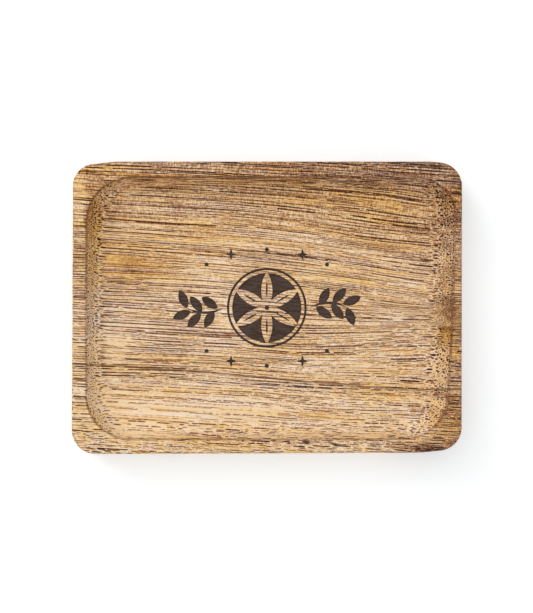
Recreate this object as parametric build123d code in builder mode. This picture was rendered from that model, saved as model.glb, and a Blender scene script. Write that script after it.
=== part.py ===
"""A palm-sized coin tray, carved from one solid block of mango wood.

The frame has +X along the tray's length, which is also the run of the grain, +Y towards its back side,
and +Z up. The origin is the middle of the underside. All sizes are in millimetres.
"""

import math
import os

from build123d import *

# The block, as sawn and planed
tray_length = 102.5
tray_width = 76.8
tray_height = 12.7

# The four sides are sanded by hand, so they aren't quite square to each other, and no two corners are alike.
# The front side runs in towards the right, the left side towards the back, and the right side towards the
# front, by so much over their whole length.
front_taper = 0.35
left_taper = 0.37
right_taper = 0.1

# Before each corner's own radius, the front or back side slopes in: how long the slope is, how far it goes
back_left_slope = 11.3
back_left_drop = 1.3
back_left_radius = 5.5
back_right_slope = 8.4
back_right_drop = 0.75
back_right_radius = 6.1
front_right_slope = 10.8
front_right_drop = 1.15
front_right_radius = 6.0
front_left_slope = 6.3
front_left_drop = 0.25
front_left_radius = 6.2

# Where such a slope begins, it is eased into the straight side
slope_radius = 16

# Sanded edges: round the rim, round the underside, and along the lip of the well
rim_round = 0.6
base_round = 0.9
lip_round = 0.5

# The rim is what stands between the block's sides and the lip of the well.
# It narrows along the right side, where the well was carved a little askew.
rim_left = 4.1
rim_back = 4.3
rim_front = 4.1
rim_right_at_back = 1.4
rim_right_at_front = 4.0

# The well: its depth below the rim, the corners of its lip, and the bow of its sides
well_depth = 6.2
lip_bow = 0.25
lip_back_left = 11.5
lip_back_right = 9.5
lip_front_right = 11.5
lip_front_left = 11.0

# How far each wall leans in between the lip and the floor, and the cove that it runs out in
lean_left = 2.15
lean_back = 2.4
lean_front = 2.1
lean_right_at_back = 5.25
lean_right_at_front = 4.5
cove_radius = 4.5

half_length = tray_length / 2
half_width = tray_width / 2
floor_height = tray_height - well_depth


def straight_outline(corners, radii):
    """A face with straight sides and a radius of its own at each corner.

    The corners run anticlockwise seen from above, and radii has one radius for each of them.
    """
    arcs = []
    for index, radius in enumerate(radii):
        corner = Vector(*corners[index])
        to_last = (Vector(*corners[index - 1]) - corner).normalized()
        to_next = (Vector(*corners[(index + 1) % len(corners)]) - corner).normalized()
        half_turn = math.radians(180 - to_last.get_angle(to_next)) / 2
        reach = radius * math.tan(half_turn)
        inset = radius / math.cos(half_turn) - radius
        middle = corner + (to_last + to_next).normalized() * inset
        arcs.append((corner + to_last * reach, middle, corner + to_next * reach))
    with BuildSketch() as outline:
        with BuildLine():
            for arc, next_arc in zip(arcs, arcs[1:] + arcs[:1]):
                ThreePointArc(*arc)
                Line(arc[2], next_arc[0])
        make_face()
    return outline.sketch


def bowed_outline(corners, radii, bow):
    """A four-sided face whose sides bow outwards by the same amount, with a radius of its own at each corner.

    The corners run anticlockwise seen from above, and radii has one radius for each of them.
    """
    with BuildSketch() as outline:
        with BuildLine():
            for start, end in zip(corners, corners[1:] + corners[:1]):
                SagittaArc(start, end, -bow)
        make_face()
        for corner, radius in zip(corners, radii):
            fillet(outline.vertices().sort_by_distance(corner)[0], radius)
    return outline.sketch


# The block's plan: each corner, and the start of the slope beside it
front_right_y = -half_width + front_taper
block_plan = straight_outline(
    [
        (-half_length, -half_width + front_left_drop),
        (-half_length + front_left_slope, -half_width),
        (half_length - front_right_slope, front_right_y),
        (half_length - right_taper, front_right_y + front_right_drop),
        (half_length, half_width - back_right_drop),
        (half_length - back_right_slope, half_width),
        (-half_length + back_left_slope, half_width),
        (-half_length + left_taper, half_width - back_left_drop),
    ],
    [
        front_left_radius,
        slope_radius,
        slope_radius,
        front_right_radius,
        back_right_radius,
        slope_radius,
        slope_radius,
        back_left_radius,
    ],
)

# The lip's corners, inside the rim, and the foot of the walls, inside the lip by each wall's lean
lip_left = -half_length + rim_left
lip_front = -half_width + rim_front
lip_back = half_width - rim_back
lip_corners = [
    (lip_left, lip_front),
    (half_length - rim_right_at_front, lip_front),
    (half_length - rim_right_at_back, lip_back),
    (lip_left, lip_back),
]
leans = [
    (lean_left, lean_front),
    (-lean_right_at_front, lean_front),
    (-lean_right_at_back, -lean_back),
    (lean_left, -lean_back),
]
foot_corners = [(x + dx, y + dy) for (x, y), (dx, dy) in zip(lip_corners, leans)]
lip_radii = [lip_front_left, lip_front_right, lip_back_right, lip_back_left]
foot_radii = [radius - (abs(dx) + abs(dy)) / 2 for radius, (dx, dy) in zip(lip_radii, leans)]
lip_plan = bowed_outline(lip_corners, lip_radii, lip_bow)
foot_plan = bowed_outline(foot_corners, foot_radii, lip_bow)

with BuildPart() as tray:
    # The block, with its upright corners rounded and its edges above and below eased
    with BuildSketch():
        add(block_plan)
    extrude(amount=tray_height)
    fillet(tray.edges().group_by(Axis.Z)[-1], rim_round)
    fillet(tray.edges().group_by(Axis.Z)[0], base_round)

    # The well: walls that lean outwards from a flat floor, run out in a cove, and end in a sanded lip
    with BuildSketch(Plane.XY.offset(floor_height)):
        add(foot_plan)
    with BuildSketch(Plane.XY.offset(tray_height)):
        add(lip_plan)
    loft(ruled=True, mode=Mode.SUBTRACT)
    floor_face = tray.faces().filter_by(Plane.XY).sort_by_distance((0, 0, floor_height))[0]
    fillet(floor_face.edges(), cove_radius)
    rim_face = tray.faces().filter_by(Plane.XY).sort_by(Axis.Z)[-1]
    fillet(rim_face.inner_wires()[0].edges(), lip_round)

tray.part.label = "tray"

os.makedirs("parts", exist_ok=True)
export_step(tray.part, "parts/tray.step")
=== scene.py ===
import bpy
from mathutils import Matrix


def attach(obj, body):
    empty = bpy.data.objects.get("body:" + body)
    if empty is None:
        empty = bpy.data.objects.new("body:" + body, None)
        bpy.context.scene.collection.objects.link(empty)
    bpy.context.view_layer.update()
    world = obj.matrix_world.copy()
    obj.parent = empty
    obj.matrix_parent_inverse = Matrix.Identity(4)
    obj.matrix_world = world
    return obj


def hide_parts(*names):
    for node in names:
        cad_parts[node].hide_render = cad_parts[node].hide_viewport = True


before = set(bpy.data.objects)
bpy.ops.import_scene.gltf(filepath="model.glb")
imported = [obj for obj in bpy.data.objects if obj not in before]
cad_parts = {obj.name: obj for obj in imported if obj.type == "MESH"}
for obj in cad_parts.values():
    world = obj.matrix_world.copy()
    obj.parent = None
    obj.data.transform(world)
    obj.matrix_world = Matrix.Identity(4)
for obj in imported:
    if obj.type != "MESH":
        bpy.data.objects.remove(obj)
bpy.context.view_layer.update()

import math

import bmesh
import bpy
from mathutils import Vector

# The block.
# One piece of solid mango wood, sawn and planed to size. Its sides were sanded by hand, so they aren't quite
# square to each other, and each corner slopes in before its own radius. Nothing is glued or screwed to it.
mm = 0.001
half_length = 51.25 * mm
half_width = 38.4 * mm
tray_height = 12.7 * mm
base_round = 0.9 * mm
rim_round = 0.6 * mm

# How far the front, left and right sides run in over their whole length
front_taper = 0.35 * mm
left_taper = 0.37 * mm
right_taper = 0.1 * mm

# For each corner: how long the slope beside it is, how far that goes in, and the corner's own radius. Where a
# slope begins, it is eased into the straight side by a radius too.
front_left_slope, front_left_drop, front_left_radius = 6.3 * mm, 0.25 * mm, 6.2 * mm
front_right_slope, front_right_drop, front_right_radius = 10.8 * mm, 1.15 * mm, 6.0 * mm
back_right_slope, back_right_drop, back_right_radius = 8.4 * mm, 0.75 * mm, 6.1 * mm
back_left_slope, back_left_drop, back_left_radius = 11.3 * mm, 1.3 * mm, 5.5 * mm
slope_radius = 16 * mm


def pick_up(piece):
    """Let the next tools act on this piece alone."""
    if bpy.context.mode != "OBJECT":
        bpy.ops.object.mode_set(mode="OBJECT")
    bpy.ops.object.select_all(action="DESELECT")
    bpy.context.view_layer.objects.active = piece
    piece.select_set(True)


def mark_out(piece, kind, test):
    """In edit mode, select the piece's vertices, edges or faces for which the test is true, and no others."""
    bpy.ops.mesh.select_all(action="DESELECT")
    bpy.ops.mesh.select_mode(type=kind)
    shape = bmesh.from_edit_mesh(piece.data)
    parts = {"VERT": shape.verts, "EDGE": shape.edges, "FACE": shape.faces}[kind]
    for part in parts:
        part.select_set(test(part))
    shape.select_flush_mode()
    bmesh.update_edit_mesh(piece.data)


def at_height(height):
    """A test for edges and faces that lie level at a height."""
    return lambda part: all(abs(v.co.z - height) < 0.01 * mm for v in part.verts)


def mark_corner(piece, place):
    """Select the one vertex that is nearest to a place."""
    shape = bmesh.from_edit_mesh(piece.data)
    nearest = min((v.co - place).length for v in shape.verts)
    mark_out(piece, "VERT", lambda vertex: (vertex.co - place).length < nearest + 0.001 * mm)


def draw_outline(name, corners, radii, height):
    """Draw a closed line through corners that run anticlockwise, with a radius of its own at each of them."""
    bpy.ops.object.select_all(action="DESELECT")
    bpy.ops.mesh.primitive_circle_add(
        vertices=len(corners), radius=1, fill_type="NGON", location=(0, 0, height)
    )
    line = bpy.context.object
    line.name = name
    bpy.ops.object.transform_apply(location=True)
    starts = sorted((v.co.copy() for v in line.data.vertices), key=lambda place: math.atan2(place.y, place.x))
    corners = [Vector((x, y, height)) for x, y in corners]
    bpy.ops.object.mode_set(mode="EDIT")
    for start, corner in zip(starts, corners):
        mark_corner(line, start)
        bpy.ops.transform.translate(value=corner - start)
    for last, corner, after, radius in zip(corners[-1:] + corners, corners, corners[1:] + corners[:1], radii):
        turn = (corner - last).angle(after - corner)
        steps = max(2, round(turn / math.radians(6)))  # one for every six degrees
        mark_corner(line, corner)
        bpy.ops.mesh.bevel(affect="VERTICES", offset=radius * math.tan(turn / 2), segments=steps)
    bpy.ops.mesh.select_all(action="SELECT")
    bpy.ops.mesh.delete(type="ONLY_FACE")

    # The four long sides are divided into short lengths, so that they can be bowed
    mark_out(line, "EDGE", lambda edge: edge.calc_length() > 20 * mm)
    bpy.ops.mesh.subdivide(number_cuts=23)
    bpy.ops.object.mode_set(mode="OBJECT")
    return line


tray = draw_outline(
    "mango_tray",
    [
        (-half_length, -half_width + front_left_drop),
        (-half_length + front_left_slope, -half_width),
        (half_length - front_right_slope, -half_width + front_taper),
        (half_length - right_taper, -half_width + front_taper + front_right_drop),
        (half_length, half_width - back_right_drop),
        (half_length - back_right_slope, half_width),
        (-half_length + back_left_slope, half_width),
        (-half_length + left_taper, half_width - back_left_drop),
    ],
    [
        front_left_radius,
        slope_radius,
        slope_radius,
        front_right_radius,
        back_right_radius,
        slope_radius,
        slope_radius,
        back_left_radius,
    ],
    0,
)
pick_up(tray)
bpy.ops.object.mode_set(mode="EDIT")
bpy.ops.mesh.select_all(action="SELECT")
bpy.ops.mesh.edge_face_add()
bpy.ops.mesh.extrude_region_move(TRANSFORM_OT_translate={"value": (0, 0, tray_height)})
mark_out(tray, "FACE", at_height(tray_height))
bpy.ops.mesh.delete(type="ONLY_FACE")
bpy.ops.object.mode_set(mode="OBJECT")

# The well.
# Carved into the block with a router and a gouge, and sanded: a flat floor, walls that lean outwards, a cove
# between them, and a lip. It was carved a little askew, so the rim narrows along the right side.
floor_height = 6.5 * mm
cove_width = 3.1 * mm
lip_round = 0.4 * mm
well_bow = 0.25 * mm

# How wide the rim is on each side, and how far each wall leans in between the lip and the floor
rim_left, lean_left = 4.1 * mm, 2.15 * mm
rim_front, lean_front = 4.1 * mm, 2.1 * mm
rim_back, lean_back = 4.3 * mm, 2.4 * mm
rim_right_at_front, lean_right_at_front = 4.0 * mm, 3.6 * mm
rim_right_at_back, lean_right_at_back = 1.4 * mm, 4.35 * mm

# The corners of the lip and of the foot of the walls, anticlockwise from the front left one, and their radii
lip_corners = [
    (-half_length + rim_left, -half_width + rim_front),
    (half_length - rim_right_at_front, -half_width + rim_front),
    (half_length - rim_right_at_back, half_width - rim_back),
    (-half_length + rim_left, half_width - rim_back),
]
leans = [
    (lean_left, lean_front),
    (-lean_right_at_front, lean_front),
    (-lean_right_at_back, -lean_back),
    (lean_left, -lean_back),
]
foot_corners = [(x + dx, y + dy) for (x, y), (dx, dy) in zip(lip_corners, leans)]
lip_radii = [11.0 * mm, 11.5 * mm, 9.5 * mm, 11.5 * mm]
foot_radii = [8.9 * mm, 8.6 * mm, 6.1 * mm, 9.2 * mm]


def draw_bowed(name, corners, radii, height):
    """Draw a line round the well, whose four sides bow outwards a little."""
    line = draw_outline(name, corners, radii, height)
    pick_up(line)
    bpy.ops.object.mode_set(mode="EDIT")
    for start, end in zip(corners, corners[1:] + corners[:1]):
        middle = (Vector((*start, height)) + Vector((*end, height))) / 2
        along = Vector((*end, height)) - Vector((*start, height))
        outwards = Vector((along.y, -along.x, 0)).normalized()
        mark_corner(line, middle)
        bpy.ops.transform.translate(
            value=outwards * well_bow,
            use_proportional_edit=True,
            use_proportional_connected=True,
            proportional_edit_falloff="INVERSE_SQUARE",
            proportional_size=along.length / 2,
        )
    bpy.ops.object.mode_set(mode="OBJECT")
    return line


lip = draw_bowed("lip", lip_corners, lip_radii, tray_height)
foot = draw_bowed("foot", foot_corners, foot_radii, floor_height)

# The rim joins the block's outline to the lip, the walls join the lip to their foot, and the floor closes it
pick_up(tray)
lip.select_set(True)
foot.select_set(True)
bpy.ops.object.join()
bpy.ops.object.mode_set(mode="EDIT")
mark_out(tray, "EDGE", at_height(tray_height))
bpy.ops.mesh.bridge_edge_loops()
mark_out(tray, "EDGE", lambda edge: len(edge.link_faces) < 2)
bpy.ops.mesh.bridge_edge_loops()
mark_out(tray, "EDGE", at_height(floor_height))
bpy.ops.mesh.edge_face_add()
bpy.ops.mesh.select_all(action="SELECT")
bpy.ops.mesh.remove_doubles(threshold=0.001 * mm)
bpy.ops.mesh.normals_make_consistent(inside=False)
mark_out(tray, "FACE", at_height(tray_height))
bpy.ops.mesh.dissolve_limited(angle_limit=math.radians(1))


def between(height, least, most):
    """A test for edges at a height, beside a face whose slant is in a range: 0 is upright and 1 level."""
    return lambda edge: at_height(height)(edge) and any(
        least <= abs(face.normal.z) < most for face in edge.link_faces
    )


def ease(marked, offset, segments):
    """Round marked edges over, by so much on each side of them."""
    mark_out(tray, "EDGE", marked)
    bpy.ops.mesh.bevel(offset=offset, segments=segments, affect="EDGES", clamp_overlap=False)


# The edges below and above, the lip, and the cove along the floor. A narrow strip inside the cove then keeps
# the shading of the floor flat.
ease(between(0, 0, 0.05), base_round, 6)
ease(between(tray_height, 0, 0.05), rim_round, 5)
ease(between(tray_height, 0.1, 0.9), lip_round, 4)
ease(between(floor_height, 0.1, 0.9), cove_width, 12)
mark_out(tray, "FACE", at_height(floor_height))
bpy.ops.mesh.inset(thickness=0.4 * mm)
bpy.ops.object.mode_set(mode="OBJECT")
bpy.ops.object.shade_smooth_by_angle(angle=math.radians(35))

# The wood.
# Mango: straight brown vessels, which show as fine dark dashes along the faces and as dots on the ends and
# the coves, under soft bands where one year's growth follows another. It is finished with a satin oil.


def put(tree, kind, feeds=(), **settings):
    """Add a node with its settings, and feed its sockets with values or with what other nodes put out."""
    added = tree.nodes.new(kind)
    for name, setting in settings.items():
        setattr(added, name, setting)
    for socket, feed in dict(feeds).items():
        if isinstance(feed, bpy.types.NodeSocket):
            tree.links.new(feed, added.inputs[socket])
        else:
            added.inputs[socket].default_value = feed
    return added


def work_out(tree, operation, *feeds):
    """One sum on numbers that change over the surface."""
    return put(tree, "ShaderNodeMath", enumerate(feeds), operation=operation).outputs[0]


def total(tree, *parts):
    """The sum of several numbers, each given with how much of it to take."""
    result = 0.0
    for part, share in parts:
        result = work_out(tree, "MULTIPLY_ADD", part, share, result)
    return result


def stretched(tree, x, y, z, lengths):
    """A place in the wood, measured in patches of the given lengths, in mm."""
    feeds = [work_out(tree, "DIVIDE", part, length) for part, length in zip((x, y, z), lengths)]
    return put(tree, "ShaderNodeCombineXYZ", enumerate(feeds)).outputs[0]


def clouds(tree, place, detail):
    """Soft random patches, about a half everywhere: one set of them, and three more apart from it."""
    noise = put(tree, "ShaderNodeTexNoise", {"Vector": place, "Scale": 1.0, "Detail": detail})
    colours = put(tree, "ShaderNodeSeparateColor", {0: noise.outputs["Color"]})
    return [noise.outputs["Fac"], *colours.outputs]


def fade(tree, value, start, end, before=0.0, after=1.0):
    """A value that turns smoothly from one number into another, between a start and an end."""
    feeds = {"Value": value, "From Min": start, "From Max": end, "To Min": before, "To Max": after}
    return put(tree, "ShaderNodeMapRange", feeds, interpolation_type="SMOOTHSTEP").outputs[0]


def fade_evenly(tree, value, start, end):
    """A value between a start and an end, as a share of the way from one to the other."""
    return put(tree, "ShaderNodeMapRange", {"Value": value, "From Min": start, "From Max": end}).outputs[0]


def new_group(name, takes, gives):
    """An effect that several materials share, with named numbers going in and coming out."""
    group = bpy.data.node_groups.new(name, "ShaderNodeTree")
    for side, sockets in (("INPUT", takes), ("OUTPUT", gives)):
        for socket, kind in sockets.items():
            group.interface.new_socket(name=socket, in_out=side, socket_type="NodeSocket" + kind)
    return group, put(group, "NodeGroupInput").outputs, put(group, "NodeGroupOutput").inputs


grain, taken, given = new_group(
    "mango grain",
    {"Place": "Vector", "Facing": "Vector"},
    {"Pores": "Float", "Fibres": "Float", "Tone": "Float", "Warmth": "Float", "Growth line": "Float"},
)
in_mm = put(grain, "ShaderNodeVectorMath", {0: taken["Place"], "Scale": 1000.0}, operation="SCALE").outputs[0]
x, y, z = put(grain, "ShaderNodeSeparateXYZ", {0: in_mm}).outputs

# Where the surface is upright, as on the sides, or steep, as on the coves too. The cut across the vessels is
# shorter there.
faces_up = work_out(grain, "ABSOLUTE", put(grain, "ShaderNodeSeparateXYZ", {0: taken["Facing"]}).outputs[2])
upright = fade(grain, faces_up, 0.4, 0.1)
steep = total(grain, (fade(grain, faces_up, 0.98, 0.8), 0.45), (upright, 0.55))

# The fibres come forwards a little as they run to the right, most of all behind the middle, and close in on a
# spot where a branch grew. Near that spot, and along the front, they also wave up and down in the wood. The
# front part grew faster, so the vessels' open stretches are shorter there.
_, sway, dip, blur = clouds(grain, stretched(grain, x, y, z, (60, 16, 16)), 1.0)
branch_y = -2.8
branch_reach = 6
from_branch = total(grain, (y, 1 / branch_reach), (-branch_y / branch_reach, 1))
bell = work_out(grain, "MULTIPLY", work_out(grain, "POWER", from_branch, 2.0), -0.5)
bell = work_out(grain, "MULTIPLY", work_out(grain, "EXPONENT", bell), fade(grain, x, 5, 50))
closing = work_out(grain, "MULTIPLY", from_branch, bell)
falling = work_out(grain, "MULTIPLY", fade(grain, y, -2, 12), fade(grain, y, 38, 19))
falling = work_out(grain, "MULTIPLY", falling, fade(grain, x, -20, 70))
across = total(grain, (y, 1), (x, 0.055), (closing, 5.5), (falling, 4.2), (sway, 2.0), (-1.0, 1))
wave = clouds(grain, stretched(grain, x, y, z, (9, 6, 6)), 1.0)[0]
wavy = work_out(grain, "MAXIMUM", bell, fade(grain, y, -28, -34))
ripple = work_out(grain, "MULTIPLY", work_out(grain, "SUBTRACT", wave, 0.5), wavy)
ripple = work_out(grain, "MULTIPLY", ripple, total(grain, (upright, -0.8), (1, 1)))
deep = total(
    grain, (z, 1), (x, 0.03), (work_out(grain, "MULTIPLY", x, x), 0.0002), (ripple, 8.0), (dip, 1.5)
)
front = fade(grain, across, -2, -27)
back = fade(grain, across, 8, 24)
left = fade(grain, x, -38, -43)
faster = total(grain, (front, 0.5), (1.2, 1))
run = total(grain, (work_out(grain, "MULTIPLY", x, faster), 1), (work_out(grain, "MULTIPLY", x, x), 0.0045))

# Vessels: thin tubes, taller than they are wide, each with a pale sheath. A cut along them shows long dark
# lines, and a cut across them dots.
_, wander, stray, _ = clouds(grain, stretched(grain, run, y, z, (25, 5, 5)), 1.0)
tube_across = total(grain, (across, 1), (wander, 0.6))
tube_deep = total(grain, (deep, 1), (stray, 0.5))


def vessels(length, apart, thickness, tallness, aside):
    """Where the surface cuts a vessel or its sheath: how long its open stretches are, how far apart the
    vessels are, how thick and how tall they are, and how far these are set aside from the other kinds."""
    level = apart * 1.3
    least_tall = thickness * 0.85
    place = stretched(grain, work_out(grain, "ADD", tube_across, aside), tube_deep, 0.0, (apart, level, 1))
    cells = put(
        grain,
        "ShaderNodeTexVoronoi",
        {"Vector": place, "Scale": 1.0, "Randomness": 0.75},
        feature="F1",
        voronoi_dimensions="2D",
    )
    luck = put(grain, "ShaderNodeSeparateColor", {0: cells.outputs["Color"]}).outputs
    away = put(
        grain, "ShaderNodeVectorMath", {0: place, 1: cells.outputs["Position"]}, operation="SUBTRACT"
    ).outputs[0]
    tall = total(grain, (steep, least_tall - tallness), (tallness, 1))
    sizes = {0: 2 * apart / thickness, 1: work_out(grain, "DIVIDE", 2 * level, tall)}
    sizes = put(grain, "ShaderNodeCombineXYZ", sizes).outputs[0]
    away = put(grain, "ShaderNodeVectorMath", {0: away, 1: sizes}, operation="MULTIPLY").outputs[0]
    away = put(grain, "ShaderNodeVectorMath", {0: away}, operation="LENGTH").outputs["Value"]
    along = total(grain, (run, 1 / length), (luck[0], 50.0))
    width = put(
        grain, "ShaderNodeTexNoise", {"W": along, "Scale": 1.0, "Detail": 2.0}, noise_dimensions="1D"
    ).outputs["Fac"]
    width = total(grain, (width, 1), (front, -0.07))
    width = fade(grain, width, 0.34, 0.44, 0.1, 1)
    width = work_out(grain, "MULTIPLY", width, fade(grain, luck[1], 0, 1, 0.75, 1.1))
    near = work_out(grain, "DIVIDE", away, width)
    core = fade(grain, near, 0.8, 1.15, 1, 0)
    core = work_out(grain, "MULTIPLY", core, fade(grain, luck[2], 0, 1, 0.7, 1.1))
    return core, fade(grain, near, 1.2, 2.6, 1, 0)


large, large_sheath = vessels(length=8.0, apart=0.8, thickness=0.42, tallness=1.15, aside=0)
small, small_sheath = vessels(length=4.5, apart=0.56, thickness=0.28, tallness=0.7, aside=31)
small = work_out(grain, "MULTIPLY", small, total(grain, (front, 0.1), (steep, 0.3), (0.65, 1)))
pores = work_out(grain, "MAXIMUM", large, small)
open_pores = total(grain, (front, 0.15), (left, 0.18), (upright, -0.35), (1, 1))
pores = work_out(grain, "MULTIPLY", pores, open_pores)

# The fibres between the vessels: fine streaks, specks and broad bands along the grain, and rays across it
fine, hue, _, _ = clouds(grain, stretched(grain, run, across, deep, (7, 0.3, 0.3)), 1.0)
specks = clouds(grain, stretched(grain, run, across, deep, (1.3, 0.22, 0.22)), 0.0)[0]
coarse, coarse_hue, _, _ = clouds(grain, stretched(grain, run, across, deep, (30, 1.0, 1.0)), 1.0)
rays = clouds(grain, stretched(grain, run, across, deep, (0.35, 0.8, 0.8)), 0.0)[0]
rays = work_out(grain, "SUBTRACT", rays, 0.5)
rays = work_out(grain, "MULTIPLY", rays, fade(grain, across, 18, 28, 0.7, 1.25))
streaks = work_out(grain, "SUBTRACT", fine, 0.5)
streaks = work_out(grain, "MULTIPLY", streaks, total(grain, (front, 0.3), (back, 0.3), (0.7, 1)))
bands = work_out(grain, "SUBTRACT", coarse, 0.5)
bands = work_out(grain, "MULTIPLY", bands, total(grain, (back, -0.3), (0.7, 1)))
fibres = total(
    grain,
    (streaks, 1),
    (specks, 1.0),
    (rays, 1),
    (bands, 1),
    (large_sheath, 0.45),
    (small_sheath, 0.25),
    (-0.23, 1),
)

# Growth: darker and paler years, the dark line where a dry year stopped it, and pale sapwood in front of it.
# Below the floor of the well the line runs on at a slant.
growth_line_y = -18.6
years, year_hue, _, _ = clouds(grain, stretched(grain, x, across, deep, (90, 2.4, 4)), 2.0)
low_down = work_out(grain, "MINIMUM", total(grain, (z, 1), (-floor_height / mm, 1)), 0.0)
behind = total(
    grain, (across, 1), (-growth_line_y, 1), (x, 0.025), (fade(grain, x, 38, 52), -1.4), (low_down, 0.5)
)
ragged_line = work_out(grain, "ABSOLUTE", total(grain, (behind, 1), (fine, 1.0), (-0.5, 1)))
growth_line = work_out(
    grain, "MULTIPLY", fade(grain, ragged_line, 0.1, 0.42, 1, 0), total(grain, (upright, -0.5), (1, 1))
)
tone = total(
    grain,
    (0.31, 1),
    (fade(grain, across, 17, 37), -0.25),
    (fade(grain, behind, -0.4, -4.4), 0.17),
    (fade(grain, z, 11, 12.5), -0.13),
    (front, 0.05),
    (years, 0.6),
    (left, 0.04),
    (steep, -0.08),
)
warmth = total(
    grain,
    (blur, 2.0),
    (hue, 3.0),
    (coarse_hue, 3.0),
    (year_hue, 2.5),
    (fade(grain, x, 20, 50), -0.15),
    (front, 0.25),
    (-5.05, 1),
)


def stain_and_painted_light_patch(middle_x, middle_y, reach_x, reach_y):
    """A soft patch with a ragged edge, where the wood has another colour, or where shade or light is painted
    on a cove.
    """
    side_x = total(grain, (x, 1 / reach_x), (-middle_x / reach_x, 1))
    side_y = total(grain, (across, 1 / reach_y), (-middle_y / reach_y, 1))
    square_x = work_out(grain, "MULTIPLY", side_x, side_x)
    square_y = work_out(grain, "MULTIPLY", side_y, side_y)
    from_middle = work_out(grain, "SQRT", work_out(grain, "ADD", square_x, square_y))
    ragged = total(grain, (from_middle, 1), (years, 1.2), (-0.6, 1))
    return fade(grain, ragged, 0.35, 1.1, 1, 0)


# Where each stain is and how far it reaches, in mm, and how much paler and how much more golden it is. Three
# rows are painted shade and painted light on the coves instead, as marked. The last two are short dark marks
# across the grain.
for middle_x, middle_y, reach_x, reach_y, paler, more_golden in [
    (49, -29, 9, 12, -0.38, 0.3),
    (41.5, -29, 5, 4.5, 0.0, -0.5),
    (46, -36, 20, 6, -0.1, 0.1),
    (40, -36, 8, 4.5, -0.4, 0.0),
    (42, -26, 5, 7, -0.1, 0.0),
    (-43, 32, 4, 4, -0.12, 0.0),
    (-42, 21.5, 3, 4, -0.14, 0.0),
    (53, 5, 9, 60, -0.17, 0.1),
    # Painted shade: the next row darkens the right-hand cove, which faces the lamp behind on the left
    (45, 3, 4, 16, -0.12, 0.0),
    (48.5, 4, 2.5, 8, -0.22, 0.0),
    (50, 38, 6, 7, 0.15, 0.5),
    (50.5, 12, 2.5, 4, 0.15, 0.0),
    (30, 39, 42, 6.5, -0.12, -0.7),
    (46, 31, 6, 5, -0.14, 0.0),
    (0, 39, 70, 5, -0.07, 0.0),
    (-25, 36, 16, 4, -0.03, -0.6),
    (-40, 33, 9, 5, 0.16, 0.0),
    (-50, 0, 4, 45, 0.03, 0.0),
    (-50, -20, 5, 22, 0.1, 0.1),
    (-41, 25, 4, 4, -0.12, 0.3),
    # Painted light: the next row lightens the front left corner of the cove, against the shade that falls
    # there
    (-34, -33, 16, 7, 0.2, 0.0),
    (-24, -20, 9, 4, -0.08, 0.0),
    (33, 0, 6, 3, 0.17, 0.0),
    (27, 37, 5, 4, -0.1, 0.0),
    (-25, 25.5, 6, 3, -0.14, 0.0),
    (9, 26, 9, 3, -0.14, 0.0),
    (36, 28.5, 7, 3, -0.1, 0.0),
    (43, 24, 7, 6, -0.1, 0.0),
    (-41, 9, 4, 3, 0.2, 0.0),
    (26, 14.5, 5, 3, -0.08, 0.0),
    (-39, -12, 7, 5, 0.08, 0.0),
    (49, -23, 4, 4, -0.1, 0.0),
    (47, 8, 3, 14, -0.08, 0.0),
    (44, 20, 5, 12, -0.06, 0.0),
    (32, 23, 14, 4, -0.15, 0.0),
    (22, 23, 6, 2.5, -0.1, 0.0),
    (-20, 19.5, 12, 3, -0.1, 0.3),
    (-16, 32, 9, 5, 0.12, 0.0),
    (-20, -28, 35, 5, 0.1, -0.2),
    (-25, -25, 8, 3, -0.1, 0.0),
    (-35, 10, 16, 10, -0.06, 0.6),
    (-36, 7, 9, 5, -0.13, 0.0),
    (0, 31.5, 60, 3.8, 0.04, 0.6),
    (34, 32, 10, 1.3, 0.12, 0.0),
    (47, -7, 2.5, 4, -0.2, 1.3),
    (-45.5, 21, 3, 8, -0.22, 1.0),
    (-50, 27, 4, 9, 0.42, 0.4),
    (-50.8, 7.3, 2, 1.7, -0.3, -0.6),
    (-48, -12, 5, 4, 0.15, 0.3),
    (-42, -14, 6, 9, 0.16, 0.0),
    # Painted light: the next row also lightens the front left corner of the cove, against the shade there
    (-42, -30, 8, 6, 0.16, 0.3),
    (-49.1, 33.3, 0.3, 1.6, -0.5, -0.5),
    (-47.2, 33.3, 0.3, 1.6, -0.5, -0.5),
]:
    mask = stain_and_painted_light_patch(middle_x, middle_y, reach_x, reach_y)
    tone = total(grain, (tone, 1), (mask, paler))
    warmth = total(grain, (warmth, 1), (mask, more_golden))
for socket, value in {
    "Pores": pores, "Fibres": fibres, "Tone": tone, "Warmth": warmth, "Growth line": growth_line
}.items():
    grain.links.new(value, given[socket])


def linear(red, green, blue):
    """A colour as a painter would match it on a screen, turned into the light that it reflects."""
    shares = [c / 255 for c in (red, green, blue)]
    return (*[c / 12.92 if c <= 0.04045 else ((c + 0.055) / 1.055) ** 2.4 for c in shares], 1)


def mix(tree, share, first, second):
    """Two colours, mixed by a share of the second."""
    node = put(tree, "ShaderNodeMix", data_type="RGBA")
    for socket, feed in zip((node.inputs[0], node.inputs[6], node.inputs[7]), (share, first, second)):
        if isinstance(feed, bpy.types.NodeSocket):
            tree.links.new(feed, socket)
        else:
            socket.default_value = feed
    return node.outputs[2]


def tint(tree, share, colour, filter_colour):
    """A colour seen by a share through a coloured filter."""
    node = put(tree, "ShaderNodeMix", data_type="RGBA", blend_type="MULTIPLY")
    tree.links.new(share, node.inputs[0])
    tree.links.new(colour, node.inputs[6])
    node.inputs[7].default_value = (*filter_colour, 1)
    return node.outputs[2]


def new_material(name):
    """A material with the grain in it, where its surface is and faces, and the shader that it ends in."""
    material = bpy.data.materials.new(name)
    material.use_nodes = True
    tree = material.node_tree
    surface = put(tree, "ShaderNodeTexCoord").outputs
    grain_here = put(tree, "ShaderNodeGroup", node_tree=grain)
    tree.links.new(surface["Object"], grain_here.inputs["Place"])
    tree.links.new(surface["Normal"], grain_here.inputs["Facing"])
    return material, tree, surface, grain_here.outputs, tree.nodes["Principled BSDF"].inputs


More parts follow.
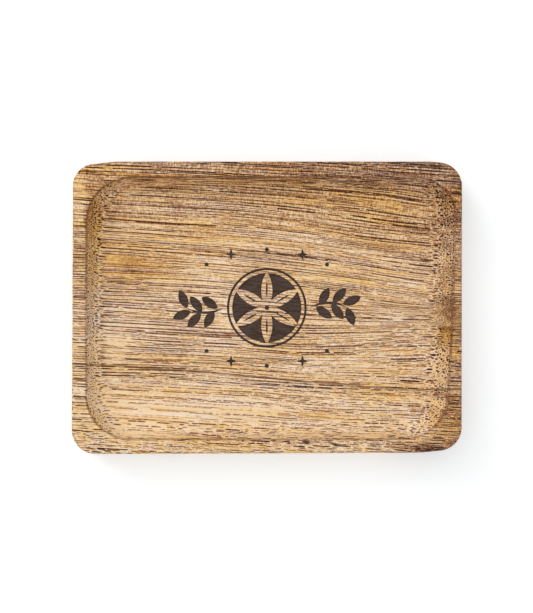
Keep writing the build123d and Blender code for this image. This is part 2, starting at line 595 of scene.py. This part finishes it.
low_gloss = 0.15
oiled, tree, surface, of_grain, shader = new_material("oiled_mango")
end_grain = work_out(tree, "ABSOLUTE", put(tree, "ShaderNodeSeparateXYZ", {0: surface["Normal"]}).outputs[0])
pore_darkness = total(tree, (end_grain, 0.2), (1.05, 1))
shade = total(
    tree,
    (of_grain["Tone"], 1),
    (of_grain["Fibres"], 0.78),
    (work_out(tree, "MULTIPLY", of_grain["Pores"], pore_darkness), -1),
    (end_grain, 0.06),
    (fade(tree, end_grain, 0.94, 1.0), -0.17),
    (of_grain["Warmth"], -0.04),
    (-0.04, 1),
)

# The wood's colour for each shade, from the inside of a vessel to the palest sapwood, before it is warmed
darkest = -0.2
palest = 1.2
shades = put(tree, "ShaderNodeValToRGB", {0: fade_evenly(tree, shade, darkest, palest)})
stops = [
    (darkest, (64, 38, 34)),
    (0.0, (96, 64, 54)),
    (0.2, (130, 94, 78)),
    (0.4, (163, 126, 103)),
    (0.55, (189, 153, 126)),
    (0.7, (209, 177, 149)),
    (0.85, (227, 201, 175)),
    (1.0, (242, 223, 206)),
    (palest, (254, 243, 236)),
]
ramp = shades.color_ramp
while len(ramp.elements) < len(stops):
    ramp.elements.new(0.5)
for element, (position, colour) in zip(ramp.elements, stops):
    element.position = (position - darkest) / (palest - darkest)
    element.color = linear(*colour)
golden_filter = (0.94, 0.68, 0.25)
growth_line_brown = linear(98, 62, 44)
# the colour of the painted shade along the lip
lip_shade_brown = linear(112, 66, 42)
warm = fade_evenly(tree, of_grain["Warmth"], -1.5, 1.5)
colour = tint(tree, warm, shades.outputs[0], golden_filter)
colour = mix(tree, work_out(tree, "MULTIPLY", of_grain["Growth line"], 0.72), colour, growth_line_brown)

# Painted shade: a dark line along the lip, where the surface turns in towards the well, darkens the wood
inwards = put(
    tree, "ShaderNodeVectorMath", {0: surface["Object"], 1: surface["Normal"]}, operation="DOT_PRODUCT"
).outputs["Value"]
height = put(tree, "ShaderNodeSeparateXYZ", {0: surface["Object"]}).outputs[2]
lip_shade_line = work_out(
    tree, "MULTIPLY", fade(tree, inwards, 9 * mm, 0), fade(tree, height, 11.9 * mm, 12.3 * mm)
)
lip_shade_line = work_out(tree, "MULTIPLY", lip_shade_line, fade(tree, of_grain["Warmth"], -0.7, 0.7, 0.1, 0.6))
colour = mix(tree, lip_shade_line, colour, lip_shade_brown)
tree.links.new(colour, shader["Base Color"])
shader["Specular IOR Level"].default_value = low_gloss
rough = total(tree, (0.42, 1), (of_grain["Pores"], 0.25), (of_grain["Fibres"], 0.12))
tree.links.new(rough, shader["Roughness"])
relief = total(tree, (of_grain["Pores"], -1), (of_grain["Fibres"], 0.4))
bump = put(tree, "ShaderNodeBump", {"Height": relief, "Strength": 0.5, "Distance": 0.05 * mm})
tree.links.new(bump.outputs[0], shader["Normal"])
tray.data.materials.clear()
tray.data.materials.append(oiled)

# The burnt ornament.
# Drawn with compasses and burnt into the floor of the well, a quarter of a millimetre deep: a rosette with
# six petals in a ring, a leafy sprig on each side of it, and small stars and dots round them.
burn_depth = 0.25 * mm
burn_height = floor_height - burn_depth
cutter_height = 1.0 * mm
ring_radius = 10.6 * mm
ring_width = 0.6 * mm
rosette_radius = 9.2 * mm
hub_radius = 0.6 * mm
dot_radius = 0.55 * mm
burnt_brown = (62, 46, 37)
scorched_brown = (112, 76, 50)


def drum(x, y, radius):
    """A round cutter that reaches as deep into the floor of the well as the burning goes."""
    bpy.ops.object.select_all(action="DESELECT")
    bpy.ops.mesh.primitive_cylinder_add(
        vertices=96, radius=radius, depth=cutter_height, location=(x, y, burn_height + cutter_height / 2)
    )
    bpy.ops.object.transform_apply(location=True)
    return bpy.context.object


def work(piece, tool, operation):
    """Cut a piece with a tool, add the tool to it, or keep what they share. The tool is used up."""
    pick_up(piece)
    change = piece.modifiers.new("work", "BOOLEAN")
    change.object = tool
    change.operation = operation
    change.solver = "EXACT"
    change.material_mode = "TRANSFER"
    bpy.ops.object.modifier_apply(modifier=change.name)
    bpy.data.objects.remove(tool)
    return piece


def pointed_oval(length, width):
    """A cutter with two pointed ends, where two drums overlap. It lies along X, about the middle."""
    radius = (length**2 + width**2) / (4 * width)
    aside = radius - width / 2
    return work(drum(0, aside, radius), drum(0, -aside, radius), "INTERSECT")


def copy_to(piece, x, y, turn):
    """A copy of a cutter, turned anticlockwise by so many degrees, and set down at a place."""
    pick_up(piece)
    bpy.ops.object.duplicate(linked=False)
    copy = bpy.context.object
    copy.rotation_euler.z = math.radians(turn)
    copy.location = (x, y, 0)
    bpy.ops.object.transform_apply()
    return copy


def new_burnt(name, colour):
    """Wood that heat has turned brown or black, with its fibres still showing."""
    material, tree, _, of_grain, shader = new_material(name)
    lighter = [c + 0.15 * (255 - c) for c in colour]
    streaks = fade(tree, of_grain["Fibres"], 0.5, 0.9, 0, 0.6)
    tree.links.new(mix(tree, streaks, linear(*colour), linear(*lighter)), shader["Base Color"])
    tree.links.new(total(tree, (0.65, 1), (of_grain["Fibres"], 0.2)), shader["Roughness"])
    bump = put(tree, "ShaderNodeBump", {"Height": of_grain["Fibres"], "Strength": 0.6, "Distance": 0.06 * mm})
    tree.links.new(bump.outputs[0], shader["Normal"])
    shader["Specular IOR Level"].default_value = low_gloss
    return material


# The rosette: its petals are left unburnt, each with a slit down its middle
burning = work(drum(0, 0, ring_radius), drum(0, 0, ring_radius - ring_width), "DIFFERENCE")
burnt_parts = [burning, drum(0, 0, hub_radius)]
rosette = drum(0, 0, rosette_radius)
petal = pointed_oval(length=10.16 * mm, width=2.97 * mm)
petal_middle = 4.6 * mm
slit = pointed_oval(length=4.6 * mm, width=0.45 * mm)
slit_middle = 5.0 * mm
for turn in range(30, 390, 60):
    outwards = Vector((math.cos(math.radians(turn)), math.sin(math.radians(turn))))
    work(rosette, copy_to(petal, *outwards * petal_middle, turn), "DIFFERENCE")
    burnt_parts.append(copy_to(slit, *outwards * slit_middle, turn))
burnt_parts.append(rosette)

# One sprig: a bent stem that thins out towards both ends, and six leaves along it
stem_x = 16.45 * mm
sprig = work(drum(stem_x, -6.9 * mm, 8.55 * mm), drum(stem_x, -12.95 * mm, 13.9 * mm), "DIFFERENCE")
leaf = pointed_oval(length=5.2 * mm, width=2.4 * mm)
for leaf_x, leaf_y, turn in [
    (15.3, 3.0, 62),
    (15.2, -1.3, -35),
    (19.3, 3.3, 47),
    (18.8, -1.0, -52),
    (22.6, 1.9, 22),
    (22.2, -2.3, -68),
]:
    work(sprig, copy_to(leaf, leaf_x * mm, leaf_y * mm, turn), "UNION")
burnt_parts += [sprig, copy_to(sprig, 0, 0, 180)]

# The stars and dots round them
star = pointed_oval(length=3.0 * mm, width=0.75 * mm)
work(star, copy_to(star, 0, 0, 90), "UNION")
dot = drum(0, 0, dot_radius)
for star_x, star_y in [(9.5, 14.2), (-9.5, 14.2), (-9.5, -14.2), (9.5, -14.2)]:
    burnt_parts.append(copy_to(star, star_x * mm, star_y * mm, 0))
for dot_x, dot_y in [(0, 15.5), (0, -15.5), (16, 11.5), (-16, 11.5), (-16, -11.5), (16, -11.5)]:
    burnt_parts.append(copy_to(dot, dot_x * mm, dot_y * mm, 0))
for pattern in (petal, slit, leaf, star, dot):
    bpy.data.objects.remove(pattern)

# The floor of the burning is dark, and its upright walls are only scorched
pick_up(burning)
for part in burnt_parts:
    part.select_set(True)
bpy.ops.object.join()
burning.data.materials.clear()
burning.data.materials.append(new_burnt("burnt_mango", burnt_brown))
burning.data.materials.append(new_burnt("scorched_mango", scorched_brown))
bpy.ops.object.mode_set(mode="EDIT")
bpy.ops.mesh.select_all(action="SELECT")
burning.active_material_index = 1
bpy.ops.object.material_slot_assign()
mark_out(burning, "FACE", at_height(burn_height))
burning.active_material_index = 0
bpy.ops.object.material_slot_assign()
work(tray, burning, "DIFFERENCE")

# Sharp edges stay sharp, and the flat faces stay flat beside the rounded ones
pick_up(tray)
bpy.ops.object.shade_smooth_by_angle(angle=math.radians(35))
even = tray.modifiers.new("even", "WEIGHTED_NORMAL")
even.keep_sharp = True
bpy.ops.object.modifier_apply(modifier=even.name)
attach(tray, "root")
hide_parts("tray")

# The floor and the light.
# A sheet of white paper, with a window in it under the tray that lets light reach the tray's underside, in a
# pale studio with three softboxes: one overhead, one behind on the left, and one in front on the right.
window_length = 99.6 * mm  # half a millimetre inside the edge of the flat underside, as is its width
window_width = 73.9 * mm
window_corner = 8 * mm
bpy.ops.object.select_all(action="DESELECT")
bpy.ops.mesh.primitive_plane_add(size=1, location=(0, 0, 0))
floor = bpy.context.object
floor.name = "floor"
bpy.ops.object.mode_set(mode="EDIT")
bpy.ops.mesh.select_all(action="SELECT")
bpy.ops.transform.resize(value=(window_length, window_width, 1))
bpy.ops.mesh.bevel(affect="VERTICES", offset=window_corner, segments=8)
bpy.ops.mesh.delete(type="ONLY_FACE")
bpy.ops.mesh.select_all(action="SELECT")
bpy.ops.mesh.extrude_edges_move()
bpy.ops.transform.resize(value=(60, 80, 1))  # to a sheet of about 6 by 6 m
bpy.ops.mesh.select_all(action="SELECT")
bpy.ops.mesh.normals_make_consistent(inside=False)
bpy.ops.object.mode_set(mode="OBJECT")


def seen_directly(tree):
    """1 where the camera sees this itself, in a mirror or through glass, and 0 for light that it throws."""
    path = put(tree, "ShaderNodeLightPath").outputs
    mirrored = work_out(tree, "MAXIMUM", path["Is Glossy Ray"], path["Is Transmission Ray"])
    return work_out(tree, "MAXIMUM", path["Is Camera Ray"], mirrored)


# A glow that lights nothing keeps the paper white round the tray's shadow
paper = bpy.data.materials.new("white_paper")
paper.use_nodes = True
tree = paper.node_tree
tree.nodes.clear()
matt = put(tree, "ShaderNodeBsdfDiffuse", {"Color": (0.85, 0.85, 0.85, 1)})
paper_glow = 0.36
brightness = work_out(tree, "MULTIPLY", seen_directly(tree), paper_glow)
glow = put(tree, "ShaderNodeEmission", {"Color": (0.9, 0.97, 1, 1), "Strength": brightness})
both = put(tree, "ShaderNodeAddShader", {0: matt.outputs[0], 1: glow.outputs[0]})
clear = put(tree, "ShaderNodeBsdfTransparent")
from_below = put(tree, "ShaderNodeNewGeometry").outputs["Backfacing"]
paper_or_clear = put(tree, "ShaderNodeMixShader", {0: from_below, 1: both.outputs[0], 2: clear.outputs[0]})
put(tree, "ShaderNodeOutputMaterial", {"Surface": paper_or_clear.outputs[0]})
floor.data.materials.append(paper)


def softbox(x, y, z, size, watts):
    """A white square lamp that faces the tray."""
    bpy.ops.object.light_add(type="AREA", location=(x, y, z))
    lamp = bpy.context.object
    lamp.data.size = size
    lamp.data.energy = watts
    lamp.rotation_euler = (-lamp.location).to_track_quat("-Z", "Y").to_euler()


# The places and sizes of the lamps are in metres
softbox(-0.15, 0.2, 1.0, size=1.1, watts=4.9)
softbox(-0.8, 0.8, 0.65, size=0.8, watts=6.6)
softbox(0.8, -0.8, 0.65, size=0.8, watts=4.3)

# The studio's white walls light the tray a little, and look brighter than that where they are seen
world = bpy.data.worlds.new("studio")
bpy.context.scene.world = world
world.use_nodes = True
tree = world.node_tree
sky = tree.nodes["Background"].inputs
sky["Color"].default_value = (1, 1, 1, 1)
sky_light = 0.3
sky_glow = 0.62
tree.links.new(total(tree, (seen_directly(tree), sky_glow), (sky_light, 1)), sky["Strength"])

# The camera looks straight down on the tray, from a third of a millimetre behind its middle
camera_above_rim = 438 * mm
camera_place = (-0.085 * mm, 0.335 * mm, tray_height + camera_above_rim)
bpy.ops.object.camera_add(location=camera_place, rotation=(0, 0, 0))
camera = bpy.context.object
camera.data.sensor_width = 36
camera.data.lens = 98.1
camera.data.clip_start = 0.01
camera.data.clip_end = 20
bpy.context.scene.camera = camera
bpy.context.scene.view_settings.view_transform = "Standard"
